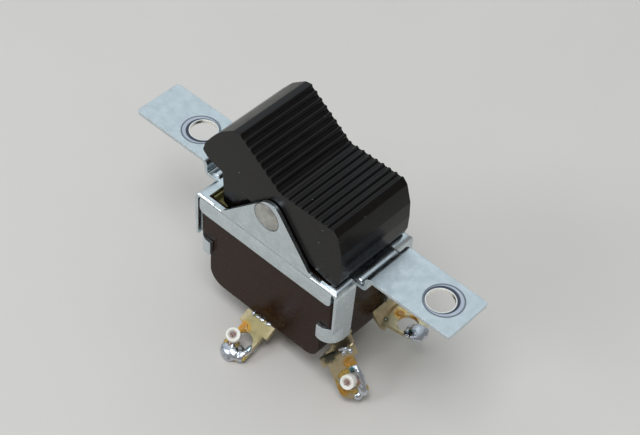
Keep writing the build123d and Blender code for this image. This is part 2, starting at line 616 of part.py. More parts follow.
def common_terminal_front():
    """Terminal under the see-saw of the -Y pole: cheeks, floor plate and lug."""
    plate_z = -WELL_FLOOR + BLADE / 2
    root = middle_lug().origin
    way = middle_lug().x_dir
    path = [(POLE_Y - cheek_inside(), plate_z), (COMMON_BLADE_Y, plate_z),
            (COMMON_BLADE_Y, COMMON_EXIT_Z), (-root.Y, root.Z),
            (-root.Y - way.Y * BLADE, root.Z + way.Z * BLADE)]
    blade = across(sheet_section(path, BLADE, BLADE_BEND), (-BLADE_WIDTH / 2, BLADE_WIDTH / 2))
    body = Pos(COMMON_SHIFT, 0, 0) * Rot(0, 0, -90) * blade + lug(middle_lug(), *COMMON_LUG)
    for side in (-1, 1):
        inner = POLE_Y + side * cheek_inside()
        outer = inner + side * BLADE
        cheek = outline([(-3.0, -WELL_FLOOR, 0), (3.0, -WELL_FLOOR, 0), (1.5, -BAR_PIVOT + 1.1, 1.2),
                         (-1.5, -BAR_PIVOT + 1.1, 1.2)])
        limits = sorted((-inner, -outer))
        body += across(cheek, limits)
    body += slab((-3.0, 3.0), (-POLE_Y - cheek_inside() - BLADE, -POLE_Y + cheek_inside() + BLADE),
                 (-WELL_FLOOR, -WELL_FLOOR + BLADE))
    return body - rod_y(0, LEVEL_BAR, BAR_PIN_DIAMETER / 2, (-20, 20))


def fixed_contact():
    """Round contact button on the load terminal's top, under the moving contact."""
    top = FIXED_BUTTON_TOP
    middle = Pos(CONTACT_X, 0, top - FIXED_BUTTON_HEIGHT / 2)
    return middle * Cylinder(BUTTON_DIAMETER / 2, FIXED_BUTTON_HEIGHT)


# Base and insulators

def base_block():
    """Outside of the base: collar, end blocks and notched lower body."""
    half = BASE_WIDTH / 2

    def lower(length, width):
        return across(outline([
            (-length / 2, -COLLAR_DROP, 0), (-length / 2, -BODY_DROP, BODY_CORNER),
            (length / 2, -BODY_DROP, BODY_CORNER), (length / 2, -COLLAR_DROP, 0),
        ]), (-width / 2, width / 2))
    collar = slab((-COLLAR_LENGTH / 2, COLLAR_LENGTH / 2), (-half, half),
                  (-COLLAR_DROP, FRAME_UNDER - FIT_GAP / 2))
    collar = chamfer(collar.faces().sort_by(Axis.Z)[-1].edges(), TOP_SOFTENING)
    collar = fillet(collar.edges().filter_by(Axis.Z), EDGE_SOFTENING)
    return Pos(BASE_SHIFT, 0, 0) * (
        collar + lower(BODY_LENGTH, BASE_WIDTH) + lower(END_BLOCK_LENGTH, END_BLOCK_WIDTH))


def base_cavity():
    """Well for the see-saws and shallow pockets for the rocker's ends."""
    step = WELL_LENGTH / 2 - 3.7
    top = 1.0
    end_floor = CONTACT_PLATE_Z - BLADE / 2
    well = slab((-step, step), (-WELL_SIDE, WELL_SIDE), (-WELL_FLOOR, top))
    well += slab((-WELL_LENGTH / 2, WELL_LENGTH / 2), (-WELL_SIDE, WELL_SIDE), (end_floor, top))
    pocket = slab((-POCKET_LENGTH / 2, POCKET_LENGTH / 2), (-WELL_SIDE, WELL_SIDE),
                  (-POCKET_FLOOR, top))
    return well + pocket


def terminal_slots():
    """Slots through the base for the four blades, flared where the blades bend."""
    width = BLADE_WIDTH / 2 + FIT_GAP
    thick = BLADE / 2 + FIT_GAP
    flare = BLADE_BEND + 0.15
    end_floor = CONTACT_PLATE_Z - BLADE / 2

    def slot(middle, floor, way_out):
        inner, outer = middle - thick, middle + thick
        return across(outline([
            (outer, floor + 0.01, 0), (inner - flare, floor + 0.01, 0), (inner, floor - flare, 0),
        ] + way_out(inner, outer)), (-width, width))

    def down(inner, outer):
        wide = outer + flare
        return [(inner, -2 * BODY_DROP, 0), (wide, -2 * BODY_DROP, 0), (wide, -BODY_DROP, 0),
                (outer, -BODY_DROP + flare, 0)]

    def outwards(inner, outer):
        under, over = -LOAD_EXIT - thick, -LOAD_EXIT + thick
        return [(inner, under, 0), (COLLAR_LENGTH, under, 0), (COLLAR_LENGTH, over, 0),
                (outer + flare, over, 0), (outer, over + flare, 0)]
    end_slot = Pos(0, TERMINAL_Y, 0) * slot(LOAD_BLADE_X, end_floor, outwards)
    side_slot = Rot(0, 0, -90) * slot(COMMON_BLADE_Y, -WELL_FLOOR, down)
    return mirrored(end_slot, Plane.XZ) + mirrored(Pos(COMMON_SHIFT, 0, 0) * side_slot, Plane.XZ)


def base_housing():
    """The whole moulded base."""
    partition = slab((-WELL_LENGTH / 2, WELL_LENGTH / 2), (-PARTITION / 2, PARTITION / 2),
                     (-WELL_FLOOR - 0.5, -PARTITION_TOP))
    return base_block() - base_cavity() + partition - terminal_slots()


def insulator():
    """Folded fibre strip under the rocker's end, at the +X side."""
    inner = WELL_LENGTH / 2 + 0.15
    outer = POCKET_LENGTH / 2 - FIT_GAP / 2 - FIBRE / 2
    level = -POCKET_FLOOR + FIBRE / 2
    path = [(inner, level), (outer, level), (outer, FRAME_UNDER)]
    half = WELL_SIDE - FIT_GAP
    return across(sheet_section(path, FIBRE, 0.15), (-half, half))


# Solder and cut wires

def insulation(frame, wire):
    """Cut sleeve of a wire, from its foot near the lug to its cut end."""
    foot, end = Vector(*wire[0]), Vector(*wire[1])
    ring = Circle(INSULATION_DIAMETER / 2) - Circle(STRAND_DIAMETER / 2)
    sleeve = extrude(Plane(origin=foot, z_dir=end - foot) * ring, (end - foot).length)
    return frame * sleeve


def strands(frame, wire, solder_point):
    """Strands of a wire as one core, bent over at the foot into the solder."""
    foot, end = Vector(*wire[0]), Vector(*wire[1])
    radius = STRAND_DIAMETER / 2
    core = Sphere(radius)
    for target, short in ((end, STRAND_SETBACK), (Vector(*solder_point), 0.0)):
        way = target - foot
        core += extrude(Plane(origin=(0, 0, 0), z_dir=way) * Circle(radius), way.length - short)
    return frame * (Pos(*wire[0]) * core)


def solder(frame, shape, neighbours):
    """Old solder round a lug, with bevelled edges, fitted to what it holds."""
    body = extrude(Plane.XY.offset(-SOLDER_BELOW) * outline(shape), SOLDER_ABOVE + SOLDER_BELOW)
    levels = body.edges().group_by(Axis.Z)
    body = chamfer(levels[0] + levels[-1], SOLDER_BEVEL)
    body = frame * body
    for neighbour in neighbours:
        body -= neighbour
    return body


def soldered_wires(pieces):
    """The solder on three lugs and the two wire stubs, by node name."""
    made = {}
    joints = (("middle", middle_lug(), "common_terminal_front", MIDDLE_SOLDER, MIDDLE_WIRE),
              ("end", end_lug(), "load_terminal_front", END_SOLDER, END_WIRE),
              ("back", back_lug(), "load_terminal_back", BACK_SOLDER, None))
    for name, frame, terminal, shape, wire in joints:
        neighbours = [pieces[terminal]]
        if wire:
            sleeve, core = insulation(frame, wire), strands(frame, wire, wire[2])
            core -= pieces[terminal]
            made["wire_insulation_" + name] = sleeve - core
            made["wire_strands_" + name] = core
            neighbours += [sleeve, core]
        made["solder_" + name] = solder(frame, shape, neighbours)
    return made


def main():
    """Build every piece and write one STEP file for each."""
    os.makedirs("parts", exist_ok=True)
    rest_rocker = ROCKER_TILT
    pieces = {
        "mounting_bracket": mounting_bracket(),
        "pivot_pin": pivot_pin(),
        "rocker": tilted(rocker(), rest_rocker, PIVOT_HEIGHT),
        "base_housing": base_housing(),
        "insulator_right": insulator(),
        "insulator_left": mirror(insulator(), about=Plane.YZ),
        "load_terminal_front": load_terminal_front(),
        "load_terminal_back": load_terminal_back(),
        "common_terminal_front": common_terminal_front(),
        "common_terminal_back": mirror(common_terminal_front(), about=Plane.XZ),
    }
    for side, name in ((-1, "front"), (1, "back")):
        pole = Pos(0, side * POLE_Y, 0)
        pieces["plunger_" + name] = pole * tilted(plunger(), rest_rocker, PIVOT_HEIGHT)
        pieces["plunger_spring_" + name] = pole * tilted(plunger_spring(), rest_rocker,
                                                         PIVOT_HEIGHT)
        pieces["contact_bar_" + name] = pole * tilted(contact_bar(), -BAR_TILT, LEVEL_BAR)
        pieces["moving_contact_" + name] = pole * tilted(moving_contact(), -BAR_TILT, LEVEL_BAR)
        pieces["bar_pin_" + name] = pole * tilted(bar_pin(), 0, LEVEL_BAR)
        pieces["fixed_contact_" + name] = pole * fixed_contact()
    pieces.update(soldered_wires(pieces))
    for name, piece in pieces.items():
        export_step(Pos(BODY_SHIFT, 0, 0) * piece, f"parts/{name}.step")


main()
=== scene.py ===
import json
import logging
import math
from dataclasses import dataclass
from enum import Enum
from typing import Any, Optional, Sequence

import bmesh
import bpy
from mathutils import Matrix, Vector, noise


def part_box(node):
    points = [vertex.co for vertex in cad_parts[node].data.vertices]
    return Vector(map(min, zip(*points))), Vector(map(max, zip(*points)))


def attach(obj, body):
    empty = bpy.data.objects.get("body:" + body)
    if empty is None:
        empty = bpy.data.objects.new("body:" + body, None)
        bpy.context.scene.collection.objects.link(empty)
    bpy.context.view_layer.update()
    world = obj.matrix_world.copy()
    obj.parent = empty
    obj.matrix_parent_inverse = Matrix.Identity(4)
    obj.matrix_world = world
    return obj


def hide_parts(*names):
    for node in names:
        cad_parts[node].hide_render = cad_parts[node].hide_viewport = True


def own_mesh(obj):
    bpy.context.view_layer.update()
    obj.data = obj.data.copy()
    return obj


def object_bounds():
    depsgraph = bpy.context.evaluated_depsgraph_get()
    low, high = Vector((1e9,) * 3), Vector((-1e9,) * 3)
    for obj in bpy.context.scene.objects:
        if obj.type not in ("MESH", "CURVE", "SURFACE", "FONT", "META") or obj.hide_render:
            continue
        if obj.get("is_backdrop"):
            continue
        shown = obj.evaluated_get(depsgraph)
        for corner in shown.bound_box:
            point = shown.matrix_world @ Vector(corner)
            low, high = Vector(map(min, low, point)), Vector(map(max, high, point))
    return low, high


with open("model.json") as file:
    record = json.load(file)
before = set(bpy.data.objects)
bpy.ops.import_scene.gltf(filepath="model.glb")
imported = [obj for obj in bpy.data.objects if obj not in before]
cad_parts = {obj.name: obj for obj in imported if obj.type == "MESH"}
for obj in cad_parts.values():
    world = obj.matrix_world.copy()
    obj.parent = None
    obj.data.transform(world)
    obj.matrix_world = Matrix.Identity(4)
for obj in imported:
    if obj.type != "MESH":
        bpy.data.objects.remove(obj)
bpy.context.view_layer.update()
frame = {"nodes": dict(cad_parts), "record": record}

LOG = logging.getLogger("panel_switch")
MM = 0.001                      # one millimetre in scene units
PER_MM = 1.0 / MM               # turns object coordinates into millimetres
BODY_SHIFT = -2.6               # middle of the switch from the middle of its mounting holes, mm
SAME_END = 0.01                 # ends of an edge this near along Y, mm, lie on one rim

Triple = tuple[float, float, float]
PIVOT: Triple = (BODY_SHIFT, 0.0, 3.0)           # of the rocker, mm
Blob = tuple[Triple, Triple]    # centre and half sizes, in a lug's own directions, mm
Node = bpy.types.Node
Socket = bpy.types.NodeSocket
Tree = bpy.types.NodeTree
SHARE, COLOUR_A, COLOUR_B, MIXED = 0, 6, 7, 2    # sockets of a Mix node set to colours


class BodyName(Enum):
    """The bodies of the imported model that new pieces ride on."""

    SWITCH = "switch_body"
    ROCKER = "rocker_body"


def linear(hex_colour: str) -> tuple[float, float, float, float]:
    """Turn an sRGB hex colour into linear light.

    Args:
        hex_colour: Colour such as "#a0b1c2".

    Returns:
        Red, green, blue and an alpha of one.
    """
    def channel(start: int) -> float:
        """Linear value, by the sRGB curve, of the two digits from start."""
        value = int(hex_colour[start:start + 2], 16) / 255
        return value / 12.92 if value <= 0.04045 else ((value + 0.055) / 1.055) ** 2.4
    return channel(1), channel(3), channel(5), 1.0


def add_node(tree: Tree, kind: str, inputs: Optional[dict[Any, Any]] = None,
             stops: Sequence[tuple[float, str]] = (), **settings: Any) -> Node:
    """Add one shader node with its settings, its ramp and its links.

    Args:
        tree: Node tree that gets the node.
        kind: Blender's type name of the node.
        inputs: Value or output socket for each input, by name or number.
        stops: Position and hex colour of each stop of a colour ramp.
        **settings: Properties of the node itself.

    Returns:
        The new node.
    """
    node = tree.nodes.new(kind)
    for name, value in settings.items():
        setattr(node, name, value)
    for key, value in (inputs or {}).items():
        if isinstance(value, bpy.types.NodeSocket):
            tree.links.new(value, node.inputs[key])
        else:
            node.inputs[key].default_value = value
    for index, (place, colour) in enumerate(stops):
        elements = node.color_ramp.elements
        stop = elements[index] if index < len(elements) else elements.new(place)
        stop.position = place
        stop.color = linear(colour)
    return node


@dataclass(frozen=True)
class Finish:
    """A surface as it was made, with the values of its real material."""

    name: str
    colour: str
    second: str                 # the colour that the first one drifts towards
    roughness: float
    metallic: float = 0.0
    ior: float = 1.5
    drift_mm: float = 3.0       # size of the clouds of the second colour
    drift: float = 0.6          # how much of the second colour shows
    uneven: float = 0.08        # how far the roughness varies
    grain_mm: float = 0.25      # spacing of the relief, coarser than life so that it shows
    relief: float = 0.1         # strength of that relief
    relief_mm: float = 0.02     # its depth
    coat: float = 0.0
    clear: float = 0.0          # how much light passes through
    edge_mm: float = 0.0        # radius that the light sees on the edges
    mirror: float = 0.5         # strength of a plastic's mirror image, 0.5 for a fresh one

    def material(self) -> bpy.types.Material:
        """Build the material.

        Returns:
            The finished material.
        """
        made = bpy.data.materials.new(self.name)
        made.use_nodes = True
        tree = made.node_tree
        tree.nodes.clear()
        place = add_node(tree, "ShaderNodeTexCoord")
        metres = add_node(tree, "ShaderNodeMapping", {
            "Vector": place.outputs["Object"], "Scale": (PER_MM,) * 3})
        spot = metres.outputs["Vector"]
        clouds = add_node(tree, "ShaderNodeTexNoise", {
            "Vector": spot, "Scale": 1 / self.drift_mm, "Detail": 5.0, "Roughness": 0.6})
        share = add_node(tree, "ShaderNodeMapRange", {
            "Value": clouds.outputs["Fac"], "From Min": 0.35, "From Max": 0.7,
            "To Min": 0.0, "To Max": self.drift})
        mix = add_node(tree, "ShaderNodeMix", {
            SHARE: share.outputs["Result"], COLOUR_A: linear(self.colour),
            COLOUR_B: linear(self.second)}, data_type="RGBA")
        grain = add_node(tree, "ShaderNodeTexNoise", {
            "Vector": spot, "Scale": 1 / self.grain_mm, "Detail": 3.0, "Roughness": 0.55})
        rough = add_node(tree, "ShaderNodeMapRange", {
            "Value": clouds.outputs["Fac"], "From Min": 0.3, "From Max": 0.7,
            "To Min": max(0.02, self.roughness - self.uneven),
            "To Max": self.roughness + self.uneven})
        bump = add_node(tree, "ShaderNodeBump", {
            "Height": grain.outputs["Fac"], "Strength": self.relief,
            "Distance": self.relief_mm * MM})
        if self.edge_mm:
            soft = add_node(tree, "ShaderNodeBevel", {"Radius": self.edge_mm * MM}, samples=6)
            tree.links.new(soft.outputs["Normal"], bump.inputs["Normal"])
        shader = add_node(tree, "ShaderNodeBsdfPrincipled", {
            "Metallic": self.metallic, "IOR": self.ior, "Coat Weight": self.coat,
            "Specular IOR Level": self.mirror,
            "Transmission Weight": self.clear,
            "Coat Roughness": 0.06, "Roughness": rough.outputs["Result"],
            "Normal": bump.outputs["Normal"]})
        colour = self.detail(tree, spot, mix.outputs[MIXED])
        tree.links.new(colour, shader.inputs["Base Color"])
        add_node(tree, "ShaderNodeOutputMaterial", {"Surface": shader.outputs["BSDF"]})
        return made

    def detail(self, tree: Tree, spot: Socket, colour: Socket) -> Socket:
        """Add what only this finish shows; a plain finish adds nothing."""
        return colour


@dataclass(frozen=True)
class StainsAndPaintedLight(Finish):
    """A finish with round patches at given places: real stains, and also painted shadow and
    painted reflection.
    """

    stains_and_painted_light: tuple[tuple[Triple, float, str], ...] = ()   # centre and radius in mm, colour; stains, painted shadow and painted reflection alike
    inner: float = 0.35         # share of a stain's radius that has its full colour
    outer: float = 1.35         # how far it fades out, in radii
    ragged: float = 0.7         # how far its edge wanders, in radii
    ragged_mm: float = 0.625    # size of the wandering
    strongest: float = 0.92     # how much of the colour below it hides

    def detail(self, tree: Tree, spot: Socket, colour: Socket) -> Socket:
        """Lay each stain and each patch of painted shadow and painted reflection over the colour.

        Args:
            tree: Node tree of the material.
            spot: Place on the piece, in millimetres.
            colour: Colour so far.

        Returns:
            The colour with its stains and painted patches.
        """
        ragged = add_node(tree, "ShaderNodeTexNoise", {
            "Vector": spot, "Scale": 1 / self.ragged_mm, "Detail": 4.0})
        for centre, radius, tone in self.stains_and_painted_light:
            away = add_node(tree, "ShaderNodeVectorMath", {0: spot, 1: centre},
                            operation="DISTANCE")
            rough_edge = add_node(tree, "ShaderNodeMath", {
                0: ragged.outputs["Fac"], 1: radius * self.ragged, 2: away.outputs["Value"]},
                operation="MULTIPLY_ADD")
            cover = add_node(tree, "ShaderNodeMapRange", {
                "Value": rough_edge.outputs["Value"],
                "From Min": radius * (self.inner + self.ragged / 2),
                "From Max": radius * self.outer, "To Min": self.strongest, "To Max": 0.0},
                interpolation_type="SMOOTHSTEP")
            layer = add_node(tree, "ShaderNodeMix", {
                SHARE: cover.outputs["Result"], COLOUR_A: colour, COLOUR_B: linear(tone)},
                data_type="RGBA")
            colour = layer.outputs[MIXED]
        return colour


@dataclass(frozen=True)
class ScrewMarked(Finish):
    """Plated sheet with the marks that split washers pressed round its screw holes."""

    holes: tuple[float, float] = (-24.0, 24.0)      # along X, mm
    rim: float = 2.3            # bright burnished edge of the hole
    groove: float = 2.62        # outer edge of the dark groove
    mark: float = 3.03          # outer edge of the washer's mark
    line: float = 0.09          # half width of that edge
    groove_shift: tuple[float, float] = (0.06, 0.2)
    mark_shift: tuple[float, float] = (0.32, 0.3)
    rivet: Triple = PIVOT
    rivet_shade_radius: float = 2.34    # radius of the ring of painted contact shade round the rivet head
    mark_tone: str = "#b3b4c6"
    line_tone: str = "#4a515c"
    groove_tone: str = "#2c3340"
    rim_tone: str = "#f2f1ea"
    # painted shade: tone of the dark ring round the rivet head
    rivet_shade_tone: str = "#33383b"

    def away(self, tree: Tree, spot: Socket, x: float, y: float) -> Socket:
        """Distance from an upright line through x and y, in millimetres."""
        flat = add_node(tree, "ShaderNodeVectorMath", {0: spot, 1: (1.0, 1.0, 0.0)},
                        operation="MULTIPLY")
        return add_node(tree, "ShaderNodeVectorMath", {
            0: flat.outputs["Vector"], 1: (x, y, 0.0)}, operation="DISTANCE").outputs["Value"]

    def ring(self, tree: Tree, away: Socket, colour: Socket, tone: str, middle: float,
             half: float, soft: float, strength: float) -> Socket:
        """Lay a ring or a disc of one tone over the colour.

        Args:
            tree: Node tree of the material.
            away: Distance from its centre, in millimetres.
            colour: Colour so far.
            tone: Colour of the ring.
            middle: Its radius, zero for a disc.
            half: Half its width, or the radius of a disc.
            soft: Width over which it fades at its edges.
            strength: How much of the colour below it hides.

        Returns:
            The colour with the ring.
        """
        off = add_node(tree, "ShaderNodeMath", {0: away, 1: middle}, operation="SUBTRACT")
        size = add_node(tree, "ShaderNodeMath", {0: off.outputs["Value"]},
                        operation="ABSOLUTE")
        cover = add_node(tree, "ShaderNodeMapRange", {
            "Value": size.outputs["Value"], "From Min": half, "From Max": half + soft,
            "To Min": strength, "To Max": 0.0}, interpolation_type="SMOOTHSTEP")
        return add_node(tree, "ShaderNodeMix", {
            SHARE: cover.outputs["Result"], COLOUR_A: colour, COLOUR_B: linear(tone)},
            data_type="RGBA").outputs[MIXED]

    def detail(self, tree: Tree, spot: Socket, colour: Socket) -> Socket:
        """Lay the groove and the washer's mark round each hole, and a ring of painted shade round
        the rivet head.

        Args:
            tree: Node tree of the material.
            spot: Place on the piece, in millimetres.
            colour: Colour so far.

        Returns:
            The colour with its rings.
        """
        for hole in self.holes:
            flip = math.copysign(1.0, hole)
            mark = self.away(tree, spot, hole + flip * self.mark_shift[0],
                             flip * self.mark_shift[1])
            groove = self.away(tree, spot, hole + flip * self.groove_shift[0],
                               flip * self.groove_shift[1])
            rim = self.away(tree, spot, hole, 0.0)
            for away, tone, middle, half, soft, strength in (
                    (mark, self.mark_tone, 0.0, self.mark - 0.1, 0.1, 0.55),
                    (mark, self.line_tone, self.mark, self.line, 0.08, 0.75),
                    (groove, self.groove_tone, 0.0, self.groove - 0.05, 0.12, 0.9),
                    (rim, self.rim_tone, 0.0, self.rim, 0.06, 1.0)):
                colour = self.ring(tree, away, colour, tone, middle, half, soft, strength)
        # Painted contact shade: a thin dark ring in the sheet round the rivet head.
        side = add_node(tree, "ShaderNodeVectorMath", {0: spot, 1: (1.0, 0.0, 1.0)},
                        operation="MULTIPLY")
        from_rivet = add_node(tree, "ShaderNodeVectorMath", {
            0: side.outputs["Vector"], 1: self.rivet}, operation="DISTANCE")
        return self.ring(tree, from_rivet.outputs["Value"], colour, self.rivet_shade_tone,
                         middle=self.rivet_shade_radius, half=0.06, soft=0.12, strength=0.8)


@dataclass(frozen=True)
class Dusty(Finish):
    """A polished moulding with specks of dust."""

    speck_mm: float = 0.09      # radius of a speck
    apart_mm: float = 2.6       # distance from one speck to the next
    inner: float = 0.6          # share of a speck's radius that is palest
    outer: float = 1.4          # how far it fades out, in radii
    palest: float = 0.75        # how much of the colour below it hides
    dust: str = "#8d9092"

    def detail(self, tree: Tree, spot: Socket, colour: Socket) -> Socket:
        """Scatter pale specks.

        Args:
            tree: Node tree of the material.
            spot: Place on the piece, in millimetres.
            colour: Colour so far.

        Returns:
            The colour with its specks.
        """
        cells = add_node(tree, "ShaderNodeTexVoronoi", {
            "Vector": spot, "Scale": 1 / self.apart_mm, "Randomness": 1.0})
        radius = self.speck_mm / self.apart_mm
        cover = add_node(tree, "ShaderNodeMapRange", {
            "Value": cells.outputs["Distance"], "From Min": radius * self.inner,
            "From Max": radius * self.outer, "To Min": self.palest, "To Max": 0.0})
        return add_node(tree, "ShaderNodeMix", {
            SHARE: cover.outputs["Result"], COLOUR_A: colour, COLOUR_B: linear(self.dust)},
            data_type="RGBA").outputs[MIXED]


@dataclass(frozen=True)
class LugPlace:
    """Where a solder lug lies: its root and its two directions, from the switch's middle."""

    root: Triple                # mm
    way: Triple                 # along the lug
    wide: Triple                # roughly across it

    def axes(self) -> tuple[Vector, Vector, Vector]:
        """Square the lug's directions to each other.

        Returns:
            Directions along the lug, across it and out of its face.
        """
        way = Vector(self.way).normalized()
        wide = Vector(self.wide)
        wide = (wide - way * wide.dot(way)).normalized()
        return way, wide, way.cross(wide)

    def matrix(self) -> Matrix:
        """Find where the lug lies.

        Returns:
            Matrix from lug millimetres to the scene.
        """
        way, wide, face = self.axes()
        turn = Matrix((way, wide, face)).transposed().to_4x4()
        root = Vector(self.root) + Vector((BODY_SHIFT, 0, 0))
        return Matrix.Scale(MM, 4) @ Matrix.Translation(root) @ turn

    def point(self, local: Triple) -> Triple:
        """Place in row millimetres of a point given in the lug's directions."""
        return tuple(PER_MM * (self.matrix() @ Vector(local)))


MIDDLE = LugPlace((-0.35, -7.9, -21.15), (0, -0.89, -0.45), (1, 0, 0))
END = LugPlace((13.4, -5.82, -18.57), (0.72, -0.15, -0.68), (0.62, 0.75, 0.17))
BACK = LugPlace((14.586, 5.07, -18.3), (0.989, 0.146, 0), (0, 1, 0))


def finished(name: str, mesh: bpy.types.Mesh, material: bpy.types.Material,
             body: BodyName = BodyName.SWITCH) -> bpy.types.Object:
    """Make an object of a mesh and let it ride on a body.

    Args:
        name: Name of the piece.
        mesh: Its mesh, already in place.
        material: Its material.
        body: The body that it moves with.

    Returns:
        The new object.
    """
    piece = bpy.data.objects.new(name, mesh)
    bpy.context.scene.collection.objects.link(piece)
    mesh.materials.clear()
    mesh.materials.append(material)
    mesh.polygons.foreach_set("use_smooth", [True] * len(mesh.polygons))
    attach(piece, body.value)
    LOG.info("%s: %d faces", name, len(mesh.polygons))
    return piece


def melted(name: str, place: LugPlace, blobs: Sequence[Blob], voxel_mm: float,
           ripple_mm: float = 0.0) -> bpy.types.Mesh:
    """Melt rounded blobs into one smooth mesh on a lug.

    Args:
        name: Name of the mesh.
        place: The lug that the blobs lie on.
        blobs: Centre and half sizes of each, in the lug's directions.
        voxel_mm: Grid of the melting.
        ripple_mm: Depth of the uneven surface.

    Returns:
        The mesh, in place.
    """
    shape = bmesh.new()
    for centre, half in blobs:
        sizes = Matrix.Translation(centre) @ Matrix.Diagonal((*half, 1.0))
        bmesh.ops.create_icosphere(shape, subdivisions=4, radius=1.0, matrix=sizes)
    rough = bpy.data.meshes.new(name + "_rough")
    shape.to_mesh(rough)
    shape.free()
    holder = bpy.data.objects.new(name + "_rough", rough)
    bpy.context.scene.collection.objects.link(holder)
    remesh = holder.modifiers.new("melt", "REMESH")
    remesh.mode = "VOXEL"
    remesh.voxel_size = voxel_mm
    settle = holder.modifiers.new("settle", "SMOOTH")
    settle.factor = 0.6
    settle.iterations = 4
    graph = bpy.context.evaluated_depsgraph_get()
    mesh = bpy.data.meshes.new_from_object(holder.evaluated_get(graph))
    mesh.name = name
    bpy.data.objects.remove(holder)
    bpy.data.meshes.remove(rough)
    if ripple_mm:
        # One broad wave and one fine one, in lug millimetres
        for vertex in mesh.vertices:
            height = noise.noise(vertex.co * 1.4) + 0.5 * noise.noise(vertex.co * 3.1)
            vertex.co += vertex.normal * (height * ripple_mm)
    mesh.transform(place.matrix())
    return mesh


def tube(shape: bmesh.types.BMesh, path: Sequence[Vector], radius: float, sides: int) -> None:
    """Run a round section along a path and close both ends.

    Args:
        shape: The bmesh that gets the tube.
        path: Points of its middle line.
        radius: Its radius.
        sides: Number of sides of its section.
    """
    way = (path[1] - path[0]).normalized()
    turn = way.to_track_quat("Z", "Y").to_matrix().to_4x4()
    ring = bmesh.ops.create_circle(shape, cap_ends=True, segments=sides, radius=radius,
                                   matrix=Matrix.Translation(path[0]) @ turn)["verts"]
    edges = list({edge for vertex in ring for edge in vertex.link_edges})
    for index in range(1, len(path)):
        grown = bmesh.ops.extrude_edge_only(shape, edges=edges)["geom"]
        ring = [item for item in grown if isinstance(item, bmesh.types.BMVert)]
        edges = [item for item in grown if isinstance(item, bmesh.types.BMEdge)
                 and all(vertex in ring for vertex in item.verts)]
        bmesh.ops.translate(shape, verts=ring, vec=path[index] - path[index - 1])
        if index < len(path) - 1:
            after = (path[index + 1] - path[index]).normalized()
            bend = way.rotation_difference(after).to_matrix()
            bmesh.ops.rotate(shape, verts=ring, cent=path[index], matrix=bend)
            way = after
    bmesh.ops.contextual_create(shape, geom=edges)


def rounded_bar(shape: bmesh.types.BMesh, place: Matrix, length: float, sides: int,
                softening: float, steps: int) -> None:
    """Add a bar along Y with softened ends.

    Args:
        shape: The bmesh that gets the bar, in millimetres.
        place: Place and half sizes of its section.
        length: Its length.
        sides: Number of sides of its section.
        softening: Rounding of its ends.
        steps: Number of steps of that rounding.
    """
    upright = place @ Matrix.Rotation(math.pi / 2, 4, "X")
    ends = bmesh.ops.create_cone(shape, cap_ends=True, segments=sides, radius1=1.0,
                                 radius2=1.0, depth=length, matrix=upright)["verts"]
    rims = {edge for vertex in ends for edge in vertex.link_edges
            if abs(edge.verts[0].co.y - edge.verts[1].co.y) < SAME_END}
    bmesh.ops.bevel(shape, geom=list(rims), offset=softening, segments=steps, profile=0.5,
                    affect="EDGES", material=-1)


@dataclass
class SmoothedPart:
    """A rigid part with its curved faces shaded as curves and its edges kept crisp."""

    node: str
    slot: str
    body: BodyName = BodyName.SWITCH
    crisp_degrees: float = 32.0     # edges sharper than this stay crisp
    weld_mm: float = 0.0005     # vertices nearer than this are one
    rounding: float = 0.0       # of the blunt ridges that run across the part, mm
    blunt_degrees: tuple[float, float] = (8.0, 48.0)
    flat_degrees: float = 0.5   # triangles that meet at less than this are one face
    along: float = 0.999        # least cosine of a ridge's angle to Y

    def rounded(self, shape: bmesh.types.BMesh) -> None:
        """Round the blunt ridges that run along Y.

        Args:
            shape: Mesh of the part, changed in place.
        """
        bmesh.ops.dissolve_limit(shape, angle_limit=math.radians(self.flat_degrees),
                                 verts=shape.verts, edges=shape.edges)
        least, most = (math.radians(limit) for limit in self.blunt_degrees)
        ridges = [edge for edge in shape.edges
                  if edge.is_convex and least < edge.calc_face_angle(0.0) < most
                  and abs((edge.verts[1].co - edge.verts[0].co).normalized().y) > self.along]
        bmesh.ops.bevel(shape, geom=ridges, offset=self.rounding * MM, segments=3,
                        profile=0.5, affect="EDGES", material=-1, clamp_overlap=True)

    def build(self, material: bpy.types.Material) -> bpy.types.Object:
        """Copy the part's solid, weld its triangles and shade it by angle.

        Args:
            material: Finish of the part.

        Returns:
            The copy.
        """
        shape = bmesh.new()
        shape.from_mesh(frame["nodes"][self.node].data)
        bmesh.ops.remove_doubles(shape, verts=shape.verts, dist=self.weld_mm * MM)
        if self.rounding:
            self.rounded(shape)
        bmesh.ops.recalc_face_normals(shape, faces=shape.faces)
        for edge in shape.edges:
            edge.smooth = edge.calc_face_angle(math.pi) < math.radians(self.crisp_degrees)
        mesh = bpy.data.meshes.new("finished_" + self.node)
        shape.to_mesh(mesh)
        shape.free()
        piece = finished(mesh.name, mesh, material, self.body)
        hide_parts(self.node)
        return piece


@dataclass
class PlungerSpring(SmoothedPart):
    """A coil spring that the plunger shortens in the real switch; its solid is copied as it
    stands.
    """

    joint: str = ""
    side: float = 1.0
    pole: float = 3.7           # from the middle of the switch to the plunger's axis, mm
    seat: float = 3.0           # from the rocker's pivot down to the spring's upper end, mm
    length: float = 5.4         # just under the coil's own, so it shortens past the travel
    travel: float = 0.8         # of the plunger
    pivot: Triple = PIVOT
    way: Triple = (0.300706, 0.0, 0.953717)      # in which the plunger slides

    def build(self, material: bpy.types.Material) -> bpy.types.Object:
        """Copy the coil and give it a mesh of its own.

        Args:
            material: Finish of the wire.

        Returns:
            The coil.
        """
        piece = super().build(material)
        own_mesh(piece)
        return piece


